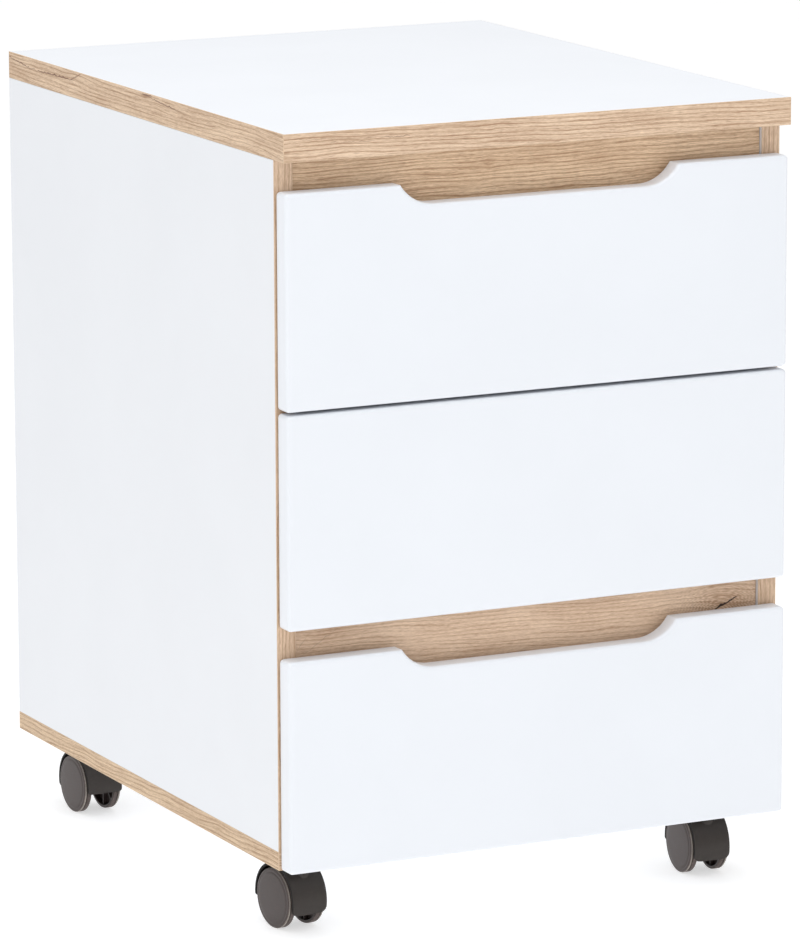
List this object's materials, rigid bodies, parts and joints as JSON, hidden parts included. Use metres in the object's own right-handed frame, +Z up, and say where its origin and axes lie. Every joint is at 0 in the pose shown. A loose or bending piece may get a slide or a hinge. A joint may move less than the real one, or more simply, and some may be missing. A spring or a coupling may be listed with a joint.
{
  "type": "rolling pedestal cabinet",
  "caption": "Rolling pedestal cabinet: white carcass with oak-look edges, notched handleless drawers on roller runners, and hooded twin-wheel swivel casters.",
  "frame": {"origin": "centre of the bounding box on the floor, under the wheels", "axes": "+Z up, +X to the right facing the drawers, drawers open towards -Y"},
  "size_m": [0.44, 0.537, 0.64],
  "materials": {
    "white_melamine": "white melamine-faced particleboard with oak-look edge bands",
    "oak_laminate": "oak-look laminate on particleboard, fine matt grain",
    "white_lacquer": "white foil-wrapped board with softly rounded edges, satin",
    "drawer_board": "light foil-wrapped particleboard",
    "hardboard": "white painted hardboard",
    "runner_steel": "white powder-coated sheet steel",
    "roller_nylon": "white nylon",
    "zinc_steel": "zinc-plated steel",
    "caster_hood": "dark warm-grey moulded plastic, fine satin",
    "caster_wheel": "dark warm-grey moulded plastic, fine satin"
  },
  "bodies": {
    "carcass": {"top_board": "white_melamine", "bottom_board": "white_melamine", "side_panel_left": "white_melamine", "side_panel_right": "white_melamine", "back_panel": "hardboard", "rail_top": "oak_laminate", "rail_middle": "oak_laminate", "runner_cabinet_top_left": "runner_steel", "runner_cabinet_top_right": "runner_steel", "runner_cabinet_middle_left": "runner_steel", "runner_cabinet_middle_right": "runner_steel", "runner_cabinet_lower_left": "runner_steel", "runner_cabinet_lower_right": "runner_steel", "caster_front_left_plate": "zinc_steel", "caster_front_right_plate": "zinc_steel", "caster_rear_left_plate": "zinc_steel", "caster_rear_right_plate": "zinc_steel"},
    "drawer_top": {"drawer_top_front": "white_lacquer", "drawer_top_side_left": "drawer_board", "drawer_top_side_right": "drawer_board", "drawer_top_back": "drawer_board", "drawer_top_bottom": "hardboard", "runner_drawer_top_left": "runner_steel", "runner_drawer_top_right": "runner_steel"},
    "drawer_middle": {"drawer_middle_front": "white_lacquer", "drawer_middle_side_left": "drawer_board", "drawer_middle_side_right": "drawer_board", "drawer_middle_back": "drawer_board", "drawer_middle_bottom": "hardboard", "runner_drawer_middle_left": "runner_steel", "runner_drawer_middle_right": "runner_steel"},
    "drawer_lower": {"drawer_lower_front": "white_lacquer", "drawer_lower_side_left": "drawer_board", "drawer_lower_side_right": "drawer_board", "drawer_lower_back": "drawer_board", "drawer_lower_bottom": "hardboard", "runner_drawer_lower_left": "runner_steel", "runner_drawer_lower_right": "runner_steel"},
    "roller_top_left": {"roller_top_left": "roller_nylon"},
    "roller_top_right": {"roller_top_right": "roller_nylon"},
    "roller_middle_left": {"roller_middle_left": "roller_nylon"},
    "roller_middle_right": {"roller_middle_right": "roller_nylon"},
    "roller_lower_left": {"roller_lower_left": "roller_nylon"},
    "roller_lower_right": {"roller_lower_right": "roller_nylon"},
    "caster_front_left": {"caster_front_left_hood": "caster_hood", "caster_front_left_axle": "zinc_steel"},
    "wheel_front_left_left": {"caster_front_left_wheel_left": "caster_wheel"},
    "wheel_front_left_right": {"caster_front_left_wheel_right": "caster_wheel"},
    "caster_front_right": {"caster_front_right_hood": "caster_hood", "caster_front_right_axle": "zinc_steel"},
    "wheel_front_right_left": {"caster_front_right_wheel_left": "caster_wheel"},
    "wheel_front_right_right": {"caster_front_right_wheel_right": "caster_wheel"},
    "caster_rear_left": {"caster_rear_left_hood": "caster_hood", "caster_rear_left_axle": "zinc_steel"},
    "wheel_rear_left_left": {"caster_rear_left_wheel_left": "caster_wheel"},
    "wheel_rear_left_right": {"caster_rear_left_wheel_right": "caster_wheel"},
    "caster_rear_right": {"caster_rear_right_hood": "caster_hood", "caster_rear_right_axle": "zinc_steel"},
    "wheel_rear_right_left": {"caster_rear_right_wheel_left": "caster_wheel"},
    "wheel_rear_right_right": {"caster_rear_right_wheel_right": "caster_wheel"}
  },
  "joints": [
    {"name": "drawer_top_slide", "type": "slide", "parent": "carcass", "child": "drawer_top", "axis": [0, -1, 0], "range_m": [0, 0.32]},
    {"name": "drawer_middle_slide", "type": "slide", "parent": "carcass", "child": "drawer_middle", "axis": [0, -1, 0], "range_m": [0, 0.32]},
    {"name": "drawer_lower_slide", "type": "slide", "parent": "carcass", "child": "drawer_lower", "axis": [0, -1, 0], "range_m": [0, 0.32]},
    {"name": "roller_top_left_spin", "type": "hinge", "parent": "carcass", "child": "roller_top_left", "pos_m": [-0.1985, -0.2345, 0.4575], "axis": [1, 0, 0], "range_deg": [0, 2300]},
    {"name": "roller_top_right_spin", "type": "hinge", "parent": "carcass", "child": "roller_top_right", "pos_m": [0.1985, -0.2345, 0.4575], "axis": [1, 0, 0], "range_deg": [0, 2300]},
    {"name": "roller_middle_left_spin", "type": "hinge", "parent": "carcass", "child": "roller_middle_left", "pos_m": [-0.1985, -0.2345, 0.2865], "axis": [1, 0, 0], "range_deg": [0, 2300]},
    {"name": "roller_middle_right_spin", "type": "hinge", "parent": "carcass", "child": "roller_middle_right", "pos_m": [0.1985, -0.2345, 0.2865], "axis": [1, 0, 0], "range_deg": [0, 2300]},
    {"name": "roller_lower_left_spin", "type": "hinge", "parent": "carcass", "child": "roller_lower_left", "pos_m": [-0.1985, -0.2345, 0.106], "axis": [1, 0, 0], "range_deg": [0, 2300]},
    {"name": "roller_lower_right_spin", "type": "hinge", "parent": "carcass", "child": "roller_lower_right", "pos_m": [0.1985, -0.2345, 0.106], "axis": [1, 0, 0], "range_deg": [0, 2300]},
    {"name": "caster_front_left_swivel", "type": "hinge", "parent": "carcass", "child": "caster_front_left", "pos_m": [-0.181, -0.2075, 0.045], "axis": [0, 0, 1], "continuous": true},
    {"name": "wheel_front_left_left_spin", "type": "hinge", "parent": "caster_front_left", "child": "wheel_front_left_left", "pos_m": [-0.19623, -0.19426, 0.024], "axis": [0.9925, 0.1219, 0], "continuous": true},
    {"name": "wheel_front_left_right_spin", "type": "hinge", "parent": "caster_front_left", "child": "wheel_front_left_right", "pos_m": [-0.16943, -0.19097, 0.024], "axis": [0.9925, 0.1219, 0], "continuous": true},
    {"name": "caster_front_right_swivel", "type": "hinge", "parent": "carcass", "child": "caster_front_right", "pos_m": [0.181, -0.2075, 0.045], "axis": [0, 0, 1], "continuous": true},
    {"name": "wheel_front_right_left_spin", "type": "hinge", "parent": "caster_front_right", "child": "wheel_front_right_left", "pos_m": [0.1683, -0.19181, 0.024], "axis": [0.9986, -0.0523, 0], "continuous": true},
    {"name": "wheel_front_right_right_spin", "type": "hinge", "parent": "caster_front_right", "child": "wheel_front_right_right", "pos_m": [0.19527, -0.19323, 0.024], "axis": [0.9986, -0.0523, 0], "continuous": true},
    {"name": "caster_rear_left_swivel", "type": "hinge", "parent": "carcass", "child": "caster_rear_left", "pos_m": [-0.181, 0.2255, 0.045], "axis": [0, 0, 1], "continuous": true},
    {"name": "wheel_rear_left_left_spin", "type": "hinge", "parent": "caster_rear_left", "child": "wheel_rear_left_left", "pos_m": [-0.16673, 0.21123, 0.024], "axis": [-0.9986, -0.0523, 0], "continuous": true},
    {"name": "wheel_rear_left_right_spin", "type": "hinge", "parent": "caster_rear_left", "child": "wheel_rear_left_right", "pos_m": [-0.1937, 0.20981, 0.024], "axis": [-0.9986, -0.0523, 0], "continuous": true},
    {"name": "caster_rear_right_swivel", "type": "hinge", "parent": "carcass", "child": "caster_rear_right", "pos_m": [0.181, 0.2255, 0.045], "axis": [0, 0, 1], "continuous": true},
    {"name": "wheel_rear_right_left_spin", "type": "hinge", "parent": "caster_rear_right", "child": "wheel_rear_right_left", "pos_m": [0.19342, 0.2096, 0.024], "axis": [-0.9976, 0.0698, 0], "continuous": true},
    {"name": "wheel_rear_right_right_spin", "type": "hinge", "parent": "caster_rear_right", "child": "wheel_rear_right_right", "pos_m": [0.16649, 0.21148, 0.024], "axis": [-0.9976, 0.0698, 0], "continuous": true}
  ],
  "couplings": [
    {"joint": "roller_top_left_spin", "follows": "drawer_top_slide", "rad_per_m": 125},
    {"joint": "roller_top_right_spin", "follows": "drawer_top_slide", "rad_per_m": 125},
    {"joint": "roller_middle_left_spin", "follows": "drawer_middle_slide", "rad_per_m": 125},
    {"joint": "roller_middle_right_spin", "follows": "drawer_middle_slide", "rad_per_m": 125},
    {"joint": "roller_lower_left_spin", "follows": "drawer_lower_slide", "rad_per_m": 125},
    {"joint": "roller_lower_right_spin", "follows": "drawer_lower_slide", "rad_per_m": 125}
  ]
}
